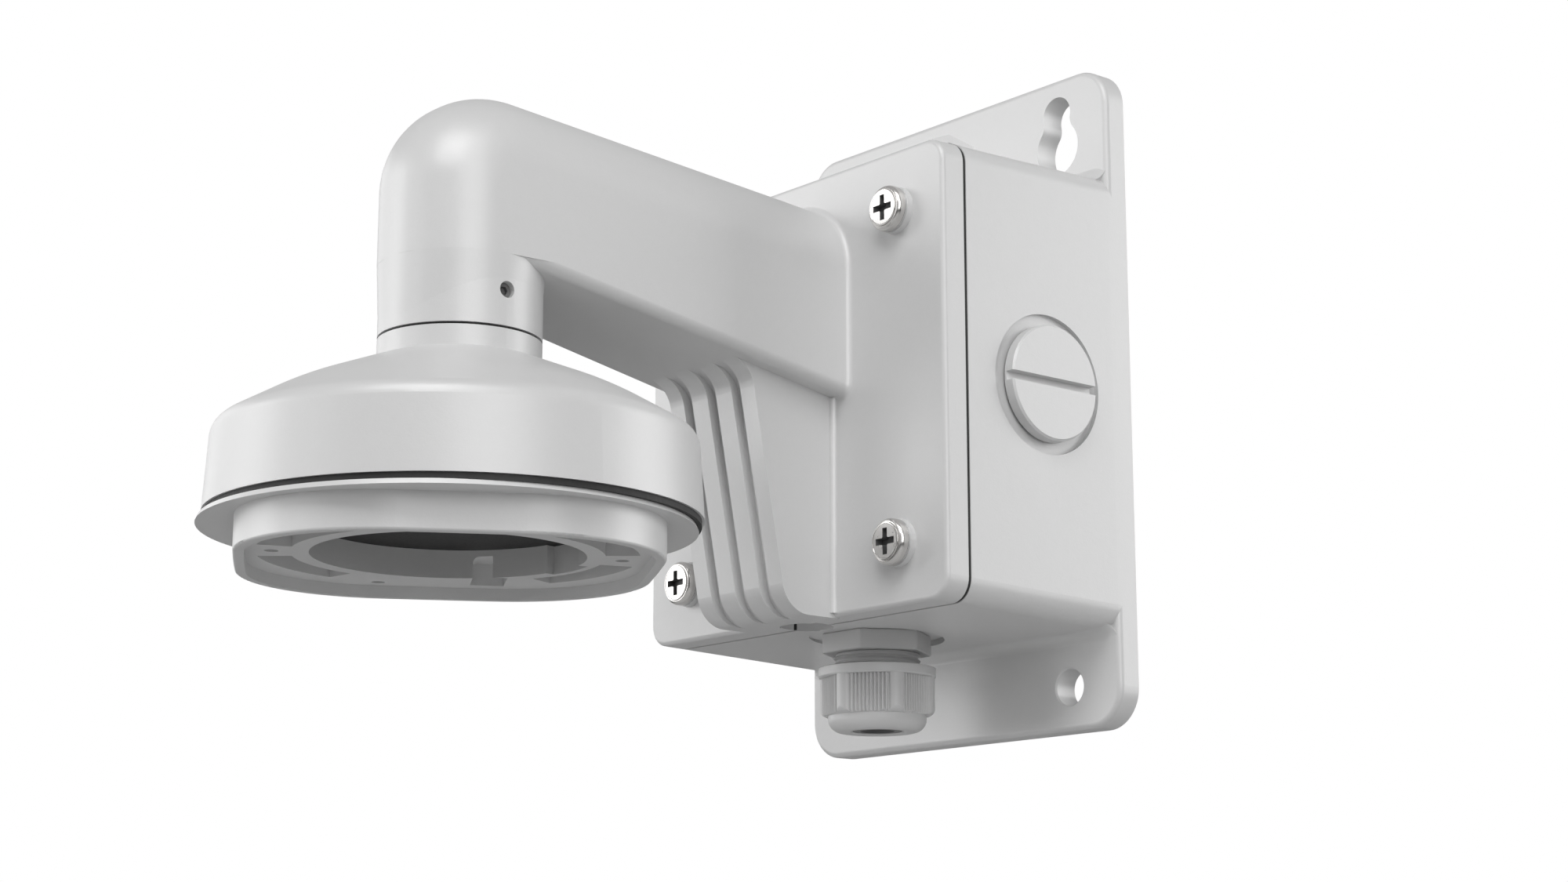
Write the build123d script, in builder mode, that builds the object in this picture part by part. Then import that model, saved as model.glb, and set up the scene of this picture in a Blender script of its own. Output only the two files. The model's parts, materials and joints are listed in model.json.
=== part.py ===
from build123d import *
from math import atan, cos, degrees, radians, sin, tan
import os

os.makedirs("parts", exist_ok=True)

# Wall bracket for a dome camera, in millimetres.
# Origin: centre of the wall plate's back face. +X right, -Y out of the wall, +Z up.
# A depth is a distance out of the wall, so depth d is the plane y = -d.

# ---- driving dimensions -------------------------------------------------------------------
# Clearances, the overlap of joined or cut volumes, and the tolerance of edge searches
fit_gap = 0.3
running_gap = 0.05
seal_gap = 0.02
overlap = 1.0
hair = 0.01

# Wall plate
plate_width = 122.1
plate_height = 180.0
plate_thickness = 7.0
plate_corner = 10.5
plate_edge = 1.5
fixing_x = 42.8
slot_head_z = 70.2
slot_head_radius = 7.7
slot_neck_rise = 9.6
slot_neck_radius = 5.1
slot_blend = 4.0
fixing_hole_z = -78.4
fixing_hole_radius = 4.87
fixing_chamfer = 0.4

# Back box: a drafted rounded box on the plate, open at the front
box_top = 58.16
box_bottom = -64.64
seam_depth = 59.46
box_corner = 6.0
box_root = 3.0
root_runout = 35.0
side_draft = 0.82
top_draft = 1.09
bottom_draft = 1.84
box_wall = 4.0
back_wall = 6.0
inner_corner = 1.5

# Seam between box and cover
gasket_thickness = 1.0
gasket_inset = 0.25
gasket_lap = 2.0

# Front cover
cover_depth = 7.19
cover_wall = 4.0
cover_edge = 1.2
tongue_length = 3.46
tongue_wall = 1.8
lip_half_width = 55.0
lip_root = 0.5
lip_rise = 2.6
lip_reach = 9.0
lip_rear_rise = 0.75
lip_gap = 0.35

# Cover screws
screw_x = 42.8
screw_top_z = 40.5
screw_bottom_z = -46.8
screw_radius = 3.0
screw_length = 20.0
screw_clearance = 3.0
screw_head_radius = 5.7
screw_face_radius = 4.65
screw_head_height = 2.85
screw_cross = 6.8
screw_cross_width = 1.7
screw_cross_depth = 2.2
screw_cross_taper = 8.0
screw_boss_radius = 6.2
screw_boss_height = 1.75
washer_radius = 5.95
washer_thickness = 0.6
column_radius = 5.5
column_web = 3.0
column_web_drop = 6.0

# Pry pocket across the seam, in the underside
pry_radius = 7.15
pry_depth = 3.1
pry_wall = 3.0
pry_offset = 2.0

# Arm, elbow and tube
tube_depth = 172.1
tube_radius = 20.0
tube_end = -3.2
tube_bore = 16.0
arm_bend = 20.3
arm_root_half_width = 24.0
bend_radius = 5.0
bend_z = 33.0
arm_fall = 5.75
arm_under_z = -4.85
arm_under_slope = 0.185
arm_edge = 2.6
arm_wall = 5.0
arm_bury = 2.0
arm_crown_flat = 0.08
arm_blend = 1.5
elbow_bore_top = 36.0
way_crown_flat = 2.0

# Gusset under the arm
gusset_half_width = 17.4
gusset_reach_share = 0.35
gusset_lean = 0.19
gusset_round_share = 0.57
gusset_blend = 8.5
gusset_side_blend = 1.3
gusset_drop = 0.1
groove_pitch = 10.0
groove_width = 3.6
groove_depth = 2.5

# Set screw in the tube
set_screw_z = 5.7
set_screw_radius = 2.0
set_screw_length = 2.0
set_screw_socket = 2.0

# Mounting cap
neck_height = 4.95
neck_seam = 0.65
spigot_radius = 15.94
spigot_length = 18.0
cap_bore = 11.5
cap_crown_radius = 58.49
cap_skirt_radius = 59.74
cap_crown_drop = 23.1
cap_height = 43.57
cap_dome_radius = 42.1
cap_dome_drop = 13.7
cap_dome_round = 90.0
cap_inner_round = 0.7
cap_crown_round = 4.7
cap_neck_slope = 17.0
cap_crown_slope = 33.0
cap_wall = 4.0
post_radius = 5.0
post_hole_depth = 16.0

# Cap gasket
sheet_thickness = 1.5
sheet_radius = 59.1
sheet_hole = 8.0

# Adapter plate, set a little off the tube's axis and turned
adapter_x = -0.86
adapter_y = -1.03
adapter_turn = 60.0
flange_top_radius = 59.2
flange_radius = 59.73
flange_thickness = 1.19
rim_height = 8.92
rim_width = 2.6
rim_round = 0.6
recess_depth = 3.02
boss_half = 49.0
boss_bow = 1.5
boss_corner = 36.5
adapter_hole = 33.0
pocket_inner = 37.5
pocket_outer = 45.8
pocket_start = 10.0
pocket_end = 53.0
pocket_depth = 5.5
camera_screw_circle = 41.7
camera_screw_circle_b = 45.1
camera_screw_angle_b = 110.0
camera_screw_radius = 1.7
camera_screw_depth = 6.0
notch_offset = 12.0
notch_width = 8.6
notch_round = 1.6
relief_depth = 2.5
relief_start = 15.0
relief_end = 40.0
adapter_screw_radius = 2.0
adapter_screw_head = 3.4
adapter_screw_head_height = 2.4
adapter_screw_length = 15.0
adapter_screw_socket = 1.6

# Cable gland in the box's underside
gland_depth = 36.6
spot_z = -62.7
spot_radius = 18.3
gland_thread = 12.45
gland_bore = 8.0
gland_pad_radius = 17.0
gland_pad_z = -58.2
seal_thickness = 0.8
seal_radius = 13.6
gland_hex = 28.0
gland_hex_height = 4.56
gland_neck = 11.8
gland_neck_height = 3.78
nut_collar_radius = 15.8
nut_collar_height = 2.59
nut_grip_radius = 15.55
nut_grip_height = 10.32
nut_nose_radius = 13.1
nut_nose_height = 4.2
nut_nose_flank = 0.75
nut_nose_lift = 0.2
nut_face_radius = 11.3
nut_mouth = 6.9
nut_wall = 2.6
flute_depth = 0.5
lobe_count = 6
flutes_per_lobe = 8
gland_turn = 0.0
locknut_height = 5.0
insert_bore = 4.6

# Side plug
plug_depth = 31.1
plug_z = -3.4
plug_recess_radius = 18.56
plug_recess_x = 59.5
plug_thread = 13.2
plug_head = 15.3
plug_head_thickness = 3.2
plug_ring_height = 0.9
plug_ring_radius = 14.2
plug_slot_width = 2.4
plug_slot_depth = 2.6
plug_bevel = 0.5
plug_length = 9.0
plug_boss_radius = 17.5
plug_boss_x = 50.0

# Rear cable hole and earth screw
rear_hole_z = 25.0
rear_hole_radius = 15.0
grommet_bore = 7.0
grommet_flange = 18.5
grommet_flange_thickness = 2.0
earth_x = -30.0
earth_z = -28.0
earth_boss_radius = 5.0
earth_boss_height = 8.0
earth_screw_radius = 2.0
earth_head_radius = 4.0
earth_head_height = 2.6
earth_screw_length = 7.0

# ---- derived places -----------------------------------------------------------------------
box_front = seam_depth - gasket_thickness / 2
cover_back = seam_depth + gasket_thickness / 2
cover_front = cover_back + cover_depth
tongue_depth = cover_back - tongue_length
cover_inner = cover_front - cover_wall
column_front = box_front - fit_gap
inner_boss_back = column_front + fit_gap
seam_top = box_top - top_draft
seam_bottom = box_bottom + bottom_draft
pry_place = (0, -seam_depth - pry_offset)
screw_seat = cover_front + screw_boss_height
head_seat = screw_seat + washer_thickness
screw_places = {
    "top_left": (-screw_x, screw_top_z),
    "top_right": (screw_x, screw_top_z),
    "bottom_left": (-screw_x, screw_bottom_z),
    "bottom_right": (screw_x, screw_bottom_z),
}
tube_axis = Axis((0, -tube_depth, 0), (0, 0, 1))
neck_top = tube_end - neck_seam
dome_start = neck_top - neck_height
cap_bottom = neck_top - cap_height
sheet_bottom = cap_bottom - sheet_thickness
flange_top = sheet_bottom - seal_gap
flange_bottom = flange_top - flange_thickness
rim_bottom = flange_bottom - rim_height
recess_floor = rim_bottom + recess_depth
pocket_floor = recess_floor + pocket_depth
adapter_centre = (adapter_x, -tube_depth + adapter_y)
adapter_plane = Plane(
    origin=(*adapter_centre, 0),
    x_dir=(cos(radians(adapter_turn)), sin(radians(adapter_turn)), 0),
    z_dir=(0, 0, 1),
)
pocket_middle = (pocket_start + pocket_end) / 2
pocket_radius = (pocket_inner + pocket_outer) / 2
post_angles = [pocket_middle, -pocket_middle, 180 - pocket_middle, 180 + pocket_middle]
post_places = [
    (pocket_radius * cos(radians(angle)), pocket_radius * sin(radians(angle))) for angle in post_angles
]
bend_depth = tube_depth - bend_radius
arm_slope = tan(radians(arm_fall))
arm_taper = (arm_root_half_width - arm_bend) / (tube_depth - cover_front)
gusset_foot = gusset_reach_share * (tube_depth - cover_front - cap_skirt_radius)
gusset_round = gusset_round_share * gusset_foot


def housing_outline(depth, inset=0.0):
    """Rounded rectangle of the drafted housing at one depth, drawn in from its outside by inset."""
    share = (depth - plate_thickness) / (seam_depth - plate_thickness)
    half_width = plate_width / 2 - side_draft * share - inset
    top = box_top - top_draft * share - inset
    bottom = box_bottom + bottom_draft * share + inset
    with BuildSketch(Plane.XZ.offset(depth)) as outline:
        with Locations((0, (top + bottom) / 2)):
            RectangleRounded(2 * half_width, top - bottom, max(box_corner - inset, inner_corner))
    return outline.sketch


def root_section(x, up, level):
    """Section of the concave root between the plate and the box's top or bottom, up or down from level."""
    toe = (-plate_thickness, level + up * box_root)
    throat = (1 - sin(radians(45))) * box_root
    heel = (-plate_thickness - box_root, level - up * fit_gap)
    with BuildSketch(Plane.YZ.offset(x)) as section:
        with BuildLine():
            ThreePointArc(toe, (-plate_thickness - throat, level + up * throat), heel)
            Polyline(
                heel,
                (-plate_thickness - box_root, level - up * overlap),
                (-plate_thickness + overlap, level - up * overlap),
                (-plate_thickness + overlap, level + up * box_root),
                toe,
            )
        make_face()
    return section.sketch


def arm_top(depth):
    """Height of the arm's top centre line."""
    outer = bend_radius + arm_bend
    tangent_depth = bend_depth - outer * sin(radians(arm_fall))
    return bend_z + outer * cos(radians(arm_fall)) - (tangent_depth - depth) * arm_slope


def arm_under(depth):
    """Height of the arm's flat underside."""
    return arm_under_z + (depth - cover_front) * arm_under_slope


def arm_half(depth):
    """Half width of the arm, whose sides spread towards the cover."""
    return arm_bend + (tube_depth - depth) * arm_taper


def gusset_meet(foot):
    """Depth at which the gusset's leaning face, from its foot, meets the arm's underside."""
    rise = arm_under_z - arm_under_slope * cover_front - seam_bottom + gusset_drop
    return (foot + gusset_lean * rise) / (1 - gusset_lean * arm_under_slope)


# ---- back box: wall plate and open box in one casting -------------------------------------
with BuildPart() as back_box:
    with BuildSketch(Plane.XZ):
        RectangleRounded(plate_width, plate_height, plate_corner)
    extrude(amount=plate_thickness)
    fillet(back_box.faces().sort_by(Axis.Y)[0].edges(), plate_edge)
    extrude(housing_outline(plate_thickness), amount=-plate_thickness / 2)
    loft([housing_outline(plate_thickness), housing_outline(box_front)], ruled=True)
    loft([housing_outline(back_wall, box_wall), housing_outline(box_front, box_wall)],
         ruled=True, mode=Mode.SUBTRACT)

    # Concave roots along the box's top and bottom, run out round its corners
    root_span = plate_width / 2 - box_corner
    for up, level in ((1, box_top), (-1, box_bottom)):
        extrude(root_section(-root_span, up, level), amount=2 * root_span)
        for side in (-1, 1):
            corner_axis = Axis((side * root_span, 0, level - up * box_corner), (0, side * up, 0))
            revolve(root_section(side * root_span, up, level), axis=corner_axis, revolution_arc=root_runout)

    # Columns that take the cover screws, each webbed to the side wall
    with BuildSketch(Plane.XZ.offset(back_wall - overlap)):
        with Locations(*screw_places.values()):
            Circle(column_radius)
    extrude(amount=column_front - back_wall + overlap)
    web_end = plate_width / 2 - side_draft - box_wall / 2
    with BuildSketch(Plane.XZ.offset(back_wall - overlap)):
        for side in (-1, 1):
            with Locations(*[(side * (screw_x + web_end) / 2, z) for z in (screw_top_z, screw_bottom_z)]):
                Rectangle(web_end - screw_x, column_web)
    extrude(amount=column_front - back_wall - column_web_drop)
    with BuildSketch(Plane.XZ.offset(head_seat - screw_length - screw_clearance)):
        with Locations(*screw_places.values()):
            Circle(screw_radius + running_gap)
    extrude(amount=screw_length, mode=Mode.SUBTRACT)

    # Thick pad, spot face and threaded hole for the cable gland
    with BuildSketch(Plane.XY.offset(spot_z)):
        with Locations((0, -gland_depth)):
            Circle(gland_pad_radius)
    extrude(amount=gland_pad_z - spot_z)
    with BuildSketch(Plane.XY.offset(spot_z)):
        with Locations((0, -gland_depth)):
            Circle(spot_radius)
    extrude(amount=-box_wall, mode=Mode.SUBTRACT)
    with BuildSketch(Plane.XY.offset(spot_z - overlap)):
        with Locations((0, -gland_depth)):
            Circle(gland_thread + running_gap)
    extrude(amount=gland_pad_z - spot_z + 2 * overlap, mode=Mode.SUBTRACT)

    # Threaded boss and round recess for the side plug
    with BuildSketch(Plane.YZ.offset(plug_boss_x)):
        with Locations((-plug_depth, plug_z)):
            Circle(plug_boss_radius)
    extrude(amount=plug_recess_x - plug_boss_x)
    with BuildSketch(Plane.YZ.offset(plug_recess_x)):
        with Locations((-plug_depth, plug_z)):
            Circle(plug_recess_radius)
    extrude(amount=box_wall, mode=Mode.SUBTRACT)
    with BuildSketch(Plane.YZ.offset(plug_boss_x - overlap)):
        with Locations((-plug_depth, plug_z)):
            Circle(plug_thread + running_gap)
    extrude(amount=plug_recess_x - plug_boss_x + 2 * overlap, mode=Mode.SUBTRACT)

    # Half of the pry pocket, backed by a pad
    with BuildSketch(Plane.XY.offset(seam_bottom + overlap / 2)):
        with Locations(pry_place):
            Circle(pry_radius + pry_wall)
        with Locations((0, -box_front)):
            Rectangle(4 * pry_radius, 2 * pry_radius, align=(Align.CENTER, Align.MIN), mode=Mode.INTERSECT)
    extrude(amount=pry_depth + pry_wall - overlap / 2)
    with BuildSketch(Plane.XY.offset(seam_bottom + pry_depth)):
        with Locations(pry_place):
            Circle(pry_radius)
    extrude(amount=-2 * pry_depth, mode=Mode.SUBTRACT)

    # Earth boss and rear cable hole
    with BuildSketch(Plane.XZ.offset(back_wall - overlap)):
        with Locations((earth_x, earth_z)):
            Circle(earth_boss_radius)
    extrude(amount=earth_boss_height + overlap)
    with BuildSketch(Plane.XZ.offset(back_wall)):
        with Locations((earth_x, earth_z)):
            Circle(earth_screw_radius)
    extrude(amount=earth_boss_height, mode=Mode.SUBTRACT)
    with BuildSketch(Plane.XZ):
        with Locations((0, rear_hole_z)):
            Circle(rear_hole_radius)
    extrude(amount=back_wall, mode=Mode.SUBTRACT)

    # Keyhole slots above and round holes below
    with BuildSketch(Plane.XZ):
        with Locations(*[(side * fixing_x, slot_head_z) for side in (-1, 1)]):
            Circle(slot_head_radius)
        with Locations(*[(side * fixing_x, slot_head_z + slot_neck_rise) for side in (-1, 1)]):
            Circle(slot_neck_radius)
        with Locations(*[(side * fixing_x, fixing_hole_z) for side in (-1, 1)]):
            Circle(fixing_hole_radius)
    extrude(amount=plate_thickness, mode=Mode.SUBTRACT)
    waists = back_box.edges().filter_by(Axis.Y).filter_by_position(
        Axis.Z, slot_head_z + running_gap, slot_head_z + slot_neck_rise - running_gap
    )
    slot_side = fixing_x + slot_head_radius
    fillet(waists.filter_by_position(Axis.X, -slot_side, slot_side), slot_blend)
    front_rims = back_box.edges().filter_by(GeomType.CIRCLE)
    front_rims = front_rims.filter_by_position(Axis.Y, -plate_thickness - hair, -plate_thickness + hair)
    chamfer(front_rims.filter_by(lambda rim: rim.radius < fixing_hole_radius + hair), fixing_chamfer)
back_box.part.label = "back_box"
export_step(back_box.part, "parts/back_box.step")

# ---- gasket between box and cover ---------------------------------------------------------
with BuildPart() as box_gasket:
    gasket_body = gasket_thickness - 2 * seal_gap
    gasket_back = box_front + seal_gap
    extrude(housing_outline(gasket_back, gasket_inset), amount=gasket_body)
    extrude(housing_outline(gasket_back, box_wall), amount=gasket_body, mode=Mode.SUBTRACT)
    with BuildSketch(Plane.XZ.offset(gasket_back)):
        with Locations((0, seam_bottom + gasket_inset + gasket_lap)):
            Rectangle(2 * (pry_radius + pry_wall), pry_depth + pry_wall - gasket_lap,
                      align=(Align.CENTER, Align.MIN))
    extrude(amount=gasket_body)
    with BuildSketch(Plane.XY.offset(seam_bottom + pry_depth + gasket_inset)):
        with Locations(pry_place):
            Circle(pry_radius + gasket_inset)
    extrude(amount=-2 * pry_depth, mode=Mode.SUBTRACT)
box_gasket.part.label = "box_gasket"
export_step(box_gasket.part, "parts/box_gasket.step")

# ---- arm, elbow and tube: outer form ------------------------------------------------------
with BuildPart() as arm:
    arm_start = cover_front - arm_bury
    nose = tube_depth + arm_bend
    bend_outer = bend_radius + arm_bend
    bend_end = radians(90 + arm_fall)
    bend_start = (-nose, bend_z)
    bend_middle = (-bend_depth - bend_outer * cos(bend_end / 2), bend_z + bend_outer * sin(bend_end / 2))
    bend_finish = (-bend_depth - bend_outer * cos(bend_end), bend_z + bend_outer * sin(bend_end))
    with BuildSketch(Plane.YZ):
        with BuildLine():
            Polyline(
                (-arm_start, arm_top(arm_start)),
                (-arm_start, arm_under(arm_start)),
                (-tube_depth, arm_under(tube_depth)),
                (-nose, arm_under(tube_depth)),
                bend_start,
            )
            ThreePointArc(bend_start, bend_middle, bend_finish)
            Line(bend_finish, (-arm_start, arm_top(arm_start)))
        make_face()
    extrude(amount=2 * arm_root_half_width, both=True)
    with BuildSketch(Plane.XY.offset(arm_under(arm_start) - arm_edge)):
        with BuildLine():
            Polyline(
                (-arm_half(arm_start), -arm_start),
                (-arm_half(nose), -nose),
                (arm_half(nose), -nose),
                (arm_half(arm_start), -arm_start),
                close=True,
            )
        make_face()
    extrude(amount=2 * plate_height, mode=Mode.INTERSECT)
    side_edges = arm.edges().filter_by(
        lambda edge: abs(abs(edge.center().X) - arm_half(-edge.center().Y)) < running_gap
        and edge.center().Y < -arm_start - arm_bury
    )
    split_z = arm_under(tube_depth) + arm_edge
    fillet(side_edges.filter_by(lambda edge: edge.center().Z > split_z), arm_half(nose) - arm_crown_flat)
    under_edges = arm.edges().filter_by(
        lambda edge: abs(abs(edge.center().X) - arm_half(-edge.center().Y)) < running_gap
        and edge.center().Z < arm_under(tube_depth) - running_gap
        and edge.center().Y < -arm_start - arm_bury
    )
    fillet(under_edges, arm_edge)
    with BuildSketch(Plane.XY.offset(tube_end)):
        with Locations((0, -tube_depth)):
            Circle(tube_radius)
    extrude(amount=bend_z - tube_end)

# ---- cable way inside the arm, one wall in from its outside -------------------------------
with BuildPart() as cable_way:
    way_start = cover_inner - arm_bury
    way_half = arm_bend - arm_wall
    with BuildSketch(Plane.YZ):
        with BuildLine():
            Polyline(
                (-way_start, arm_under(way_start) + arm_wall),
                (-bend_depth, arm_under(bend_depth) + arm_wall),
                (-bend_depth, arm_top(bend_depth) - arm_wall),
                (-way_start, arm_top(way_start) - arm_wall),
                close=True,
            )
        make_face()
    extrude(amount=way_half, both=True)
    long_edges = cable_way.edges().filter_by(lambda edge: abs(abs(edge.center().X) - way_half) < hair)
    long_edges = long_edges.filter_by_position(Axis.Y, -bend_depth + arm_wall, -way_start - arm_wall)
    fillet(long_edges, way_half - way_crown_flat)


def gusset_face(set_back):
    """Side profile of the gusset, its leaning front face set back by set_back."""
    foot = cover_front + gusset_foot - set_back
    bottom = seam_bottom - gusset_drop
    meet = gusset_meet(foot)
    end = gusset_meet(cover_front + gusset_foot) + gusset_blend
    back = cover_front - arm_bury
    with BuildSketch(Plane.YZ) as face:
        with BuildLine():
            Polyline(
                (-back, bottom),
                (-foot, bottom),
                (-meet, arm_under(meet)),
                (-end, arm_under(end)),
                (-end, arm_under(end) + arm_edge),
                (-back, arm_under(end) + arm_edge),
                close=True,
            )
        make_face()
        toe = face.vertices().sort_by_distance((-foot, bottom))[0]
        fillet(toe, gusset_round)
        throat = face.vertices().sort_by_distance((-meet, arm_under(meet)))[0]
        fillet(throat, gusset_blend)
    return face.sketch


# ---- gusset: ribbed web under the arm -----------------------------------------------------
with BuildPart() as gusset:
    extrude(gusset_face(groove_depth), amount=gusset_half_width, both=True)
    rib_spans = [
        (-gusset_half_width, -groove_pitch - groove_width / 2),
        (-groove_pitch + groove_width / 2, -groove_width / 2),
        (groove_width / 2, groove_pitch - groove_width / 2),
        (groove_pitch + groove_width / 2, gusset_half_width),
    ]
    for left, right in rib_spans:
        rib = extrude(gusset_face(0), (right - left) / 2, both=True, mode=Mode.PRIVATE)
        add(Pos((left + right) / 2, 0, 0) * rib)
    # Concave blends where the gusset's sides meet the cover
    blend_reach = gusset_half_width + gusset_side_blend
    blend_depth = cover_front + gusset_side_blend
    with BuildSketch(Plane.XY.offset(seam_bottom - gusset_drop + cover_edge)):
        with BuildLine():
            Line((-gusset_half_width, -blend_depth), (gusset_half_width, -blend_depth))
            RadiusArc((gusset_half_width, -blend_depth), (blend_reach, -cover_front), -gusset_side_blend)
            Polyline(
                (blend_reach, -cover_front),
                (blend_reach, -cover_front + overlap),
                (-blend_reach, -cover_front + overlap),
                (-blend_reach, -cover_front),
            )
            RadiusArc((-blend_reach, -cover_front), (-gusset_half_width, -blend_depth), -gusset_side_blend)
        make_face()
    extrude(amount=arm_under(cover_front) - seam_bottom - cover_edge)

# ---- front cover: cover, arm, gusset and tube in one casting ------------------------------
with BuildPart() as front_cover:
    loft([housing_outline(cover_back), housing_outline(cover_front)], ruled=True)
    fillet(front_cover.faces().sort_by(Axis.Y)[0].edges(), cover_edge)
    add(arm.part)
    root = front_cover.edges().filter_by_position(Axis.Y, -cover_front - hair, -cover_front + hair)
    root = root.filter_by_position(Axis.X, -arm_root_half_width - overlap, arm_root_half_width + overlap)
    fillet(root.filter_by_position(Axis.Z, arm_under_z - overlap, arm_top(cover_front) + overlap), arm_blend)
    add(gusset.part)

    # Rain lip over the seam
    with BuildSketch(Plane.YZ):
        with BuildLine():
            Polyline(
                (-cover_front + cover_edge, seam_top - lip_root),
                (-cover_front + cover_edge, seam_top),
                (-cover_back, seam_top + lip_rise),
                (-cover_back + lip_reach, seam_top + lip_rear_rise + lip_gap),
                (-cover_back + lip_reach, seam_top + lip_gap),
                (-cover_back, seam_top + lip_gap),
                (-cover_back, seam_top - lip_root),
                close=True,
            )
        make_face()
    extrude(amount=lip_half_width, both=True)

    # Bosses round the screws, outside and inside
    with BuildSketch(Plane.XZ.offset(cover_front - overlap)):
        with Locations(*screw_places.values()):
            Circle(screw_boss_radius)
    extrude(amount=screw_boss_height + overlap)

    # Inside: tongue into the box, shallow hollow, bosses on the columns
    tongue_inset = box_wall + fit_gap
    to_tongue = Pos(0, seam_depth - tongue_depth, 0)
    extrude(to_tongue * housing_outline(seam_depth, tongue_inset),
            amount=cover_back + overlap - tongue_depth)
    extrude(to_tongue * housing_outline(seam_depth, tongue_inset + tongue_wall),
            amount=cover_inner - tongue_depth, mode=Mode.SUBTRACT)
    with BuildSketch(Plane.XZ.offset(cover_back)):
        with Locations((0, seam_bottom + box_wall)):
            Rectangle(2 * (pry_radius + pry_wall + gasket_lap), 2 * (tongue_wall + overlap))
    extrude(amount=tongue_depth - cover_back - overlap, mode=Mode.SUBTRACT)
    with BuildSketch(Plane.XZ.offset(inner_boss_back)):
        with Locations(*screw_places.values()):
            Circle(column_radius)
    extrude(amount=cover_inner + overlap - inner_boss_back)
    with BuildSketch(Plane.XZ.offset(inner_boss_back - overlap)):
        with Locations(*screw_places.values()):
            Circle(screw_radius + fit_gap)
    extrude(amount=screw_seat - inner_boss_back + 2 * overlap, mode=Mode.SUBTRACT)

    # Cable way along the arm and down the tube
    add(cable_way.part, mode=Mode.SUBTRACT)
    with BuildSketch(Plane.XY.offset(tube_end)):
        with Locations((0, -tube_depth)):
            Circle(tube_bore)
    extrude(amount=elbow_bore_top - tube_end, mode=Mode.SUBTRACT)

    # Pry pocket and set screw hole
    with BuildSketch(Plane.XY.offset(seam_bottom + pry_depth)):
        with Locations(pry_place):
            Circle(pry_radius)
    extrude(amount=-2 * pry_depth, mode=Mode.SUBTRACT)
    with BuildSketch(Plane.YZ.offset(tube_bore - overlap)):
        with Locations((-tube_depth, set_screw_z)):
            Circle(set_screw_radius + running_gap)
    extrude(amount=tube_radius - tube_bore + 2 * overlap, mode=Mode.SUBTRACT)
front_cover.part.label = "front_cover"
export_step(front_cover.part, "parts/front_cover.step")


def cross_recess(plane, width, span, depth):
    """Tapered cross recess cut into a screw head from the face on this plane."""
    with BuildSketch(plane) as cross:
        Rectangle(span, width)
        Rectangle(width, span)
    return extrude(cross.sketch, amount=-depth, taper=screw_cross_taper, mode=Mode.PRIVATE)


# ---- cover screws: pan heads with a cross recess ------------------------------------------
for name, (x, z) in screw_places.items():
    head_face = head_seat + screw_head_height
    with BuildPart() as cover_screw:
        with BuildSketch(Plane.XY.offset(z)):
            with BuildLine():
                Polyline(
                    (x, -head_seat + screw_length),
                    (x + screw_radius, -head_seat + screw_length),
                    (x + screw_radius, -head_seat),
                    (x + screw_head_radius, -head_seat),
                    (x + screw_head_radius, -head_seat - screw_head_height / 3),
                    (x + screw_face_radius, -head_face),
                    (x, -head_face),
                    close=True,
                )
            make_face()
        revolve(axis=Axis((x, 0, z), (0, 1, 0)))
        cross_plane = Plane(origin=(x, -head_face, z), x_dir=(1, 0, 0), z_dir=(0, -1, 0))
        add(cross_recess(cross_plane, screw_cross_width, screw_cross, screw_cross_depth), mode=Mode.SUBTRACT)
    cover_screw.part.label = "cover_screw_" + name
    export_step(cover_screw.part, "parts/cover_screw_" + name + ".step")

with BuildPart() as cover_screw_washers:
    with BuildSketch(Plane.XZ.offset(screw_seat)):
        with Locations(*screw_places.values()):
            Circle(washer_radius)
            Circle(screw_radius + fit_gap, mode=Mode.SUBTRACT)
    extrude(amount=washer_thickness - seal_gap)
cover_screw_washers.part.label = "cover_screw_washers"
export_step(cover_screw_washers.part, "parts/cover_screw_washers.step")

# ---- set screw in the tube ----------------------------------------------------------------
with BuildPart() as arm_set_screw:
    set_screw_face = tube_bore + fit_gap + set_screw_length
    with BuildSketch(Plane.YZ.offset(tube_bore + fit_gap)):
        with Locations((-tube_depth, set_screw_z)):
            Circle(set_screw_radius)
    extrude(amount=set_screw_length)
    with BuildSketch(Plane.YZ.offset(set_screw_face)):
        with Locations((-tube_depth, set_screw_z)):
            RegularPolygon(set_screw_socket / 2, 6, major_radius=False)
    extrude(amount=-set_screw_length / 2, mode=Mode.SUBTRACT)
arm_set_screw.part.label = "arm_set_screw"
export_step(arm_set_screw.part, "parts/arm_set_screw.step")


def cap_profile(wall=0.0):
    """Half section of the cap's form. Its inside, drawn in by a wall, has a plain cone for a dome."""
    neck_z = dome_start + wall * (sin(radians(cap_neck_slope)) - 1) / cos(radians(cap_neck_slope))
    middle = (cap_dome_radius, neck_top - cap_dome_drop)
    crown_drop = wall * (1 - sin(radians(cap_crown_slope))) / cos(radians(cap_crown_slope))
    crown = (cap_crown_radius - wall, neck_top - cap_crown_drop - crown_drop)
    neck = (tube_radius - wall, neck_z)
    with BuildSketch(Plane.XZ.offset(tube_depth)) as profile:
        with BuildLine():
            Polyline((0, cap_bottom), (0, neck_top - wall), (tube_radius - wall, neck_top - wall), neck)
            if wall:
                Line(neck, crown)
            else:
                Polyline(neck, middle, crown)
            Polyline(crown, (cap_skirt_radius - wall, cap_bottom), (0, cap_bottom))
        make_face()
        if not wall:
            fillet(profile.vertices().sort_by_distance(middle)[0], cap_dome_round)
        fillet(profile.vertices().sort_by_distance(crown)[0], max(cap_crown_round - wall, cap_inner_round))
    return profile.sketch


# ---- mounting cap: domed cap with a spigot up into the tube -------------------------------
with BuildPart() as cap_outside:
    revolve(cap_profile(), axis=tube_axis)

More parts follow.
